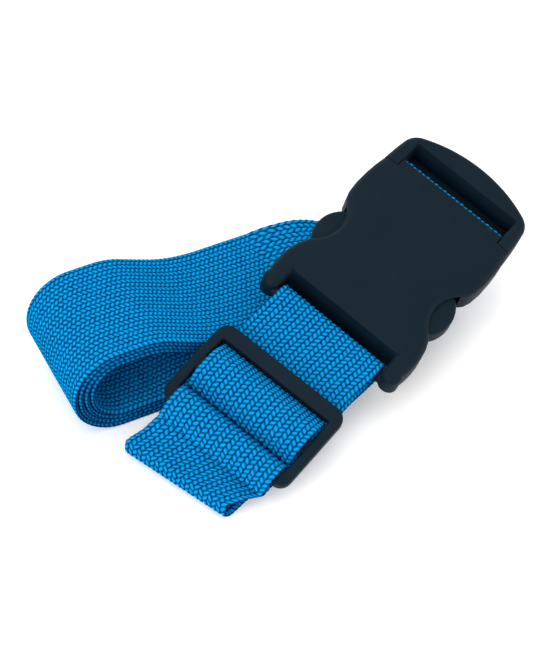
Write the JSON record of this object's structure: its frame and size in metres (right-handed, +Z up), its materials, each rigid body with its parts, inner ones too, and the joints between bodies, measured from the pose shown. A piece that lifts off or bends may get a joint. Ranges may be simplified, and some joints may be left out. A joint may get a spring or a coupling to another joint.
{
  "type": "luggage strap",
  "caption": "Woven luggage strap rolled flat, with a side-release buckle and a slide adjuster.",
  "frame": {"origin": "on the surface that the strap lies on, below the middle of its bounding box", "axes": "+Z up, +X along the buckle towards the plug, as the rolled strap lies"},
  "size_m": [0.1888, 0.1274, 0.0529],
  "materials": {
    "webbing": "woven polypropylene, bright blue",
    "thread": "spun polyester lock stitch",
    "buckle_plastic": "moulded acetal, near-black navy, satin"
  },
  "bodies": {
    "webbing": {"roll_lap_1": "webbing", "roll_lap_2": "webbing", "roll_lap_3": "webbing", "roll_lap_4": "webbing", "roll_bend_outer": "webbing", "roll_bend_inner": "webbing", "roll_bight": "webbing", "floor_bend": "webbing", "floor_run": "webbing", "end_fold": "webbing", "upper_run": "webbing", "lower_run": "webbing", "bar_wrap": "webbing", "lead_in": "webbing"},
    "shell": {"female_shell": "buckle_plastic"},
    "plug": {"plug_body": "buckle_plastic", "plug_loop": "webbing", "plug_stitching": "thread"},
    "left_latch": {"latch_left": "buckle_plastic"},
    "right_latch": {"latch_right": "buckle_plastic"},
    "adjuster": {"adjuster_frame": "buckle_plastic", "centre_hump": "webbing", "end_hump": "webbing", "adjuster_stitching": "thread"}
  },
  "joints": [
    {"name": "buckle_swivel", "type": "hinge", "parent": "webbing", "child": "shell", "pos_m": [-0.00563, -0.03099, 0.02562], "axis": [0.1055, -0.9404, -0.3231], "range_deg": [0, 14]},
    {"name": "plug_play", "type": "slide", "parent": "shell", "child": "plug", "axis": [0.9901, 0.0692, 0.1219], "range_m": [0, 0.0007]},
    {"name": "left_latch_squeeze", "type": "hinge", "parent": "plug", "child": "left_latch", "pos_m": [0.05379, -0.0039, 0.04107], "axis": [-0.0922, -0.3328, 0.9385], "range_deg": [0, 9], "stiffness_Nm_per_rad": 0.6},
    {"name": "right_latch_squeeze", "type": "hinge", "parent": "plug", "child": "right_latch", "pos_m": [0.0589, -0.04942, 0.02543], "axis": [0.0922, 0.3328, -0.9385], "range_deg": [0, 9], "stiffness_Nm_per_rad": 0.6},
    {"name": "adjuster_slide", "type": "slide", "parent": "webbing", "child": "adjuster", "axis": [0.9738, 0.034, 0.225], "range_m": [-0.003, 0.008]}
  ]
}
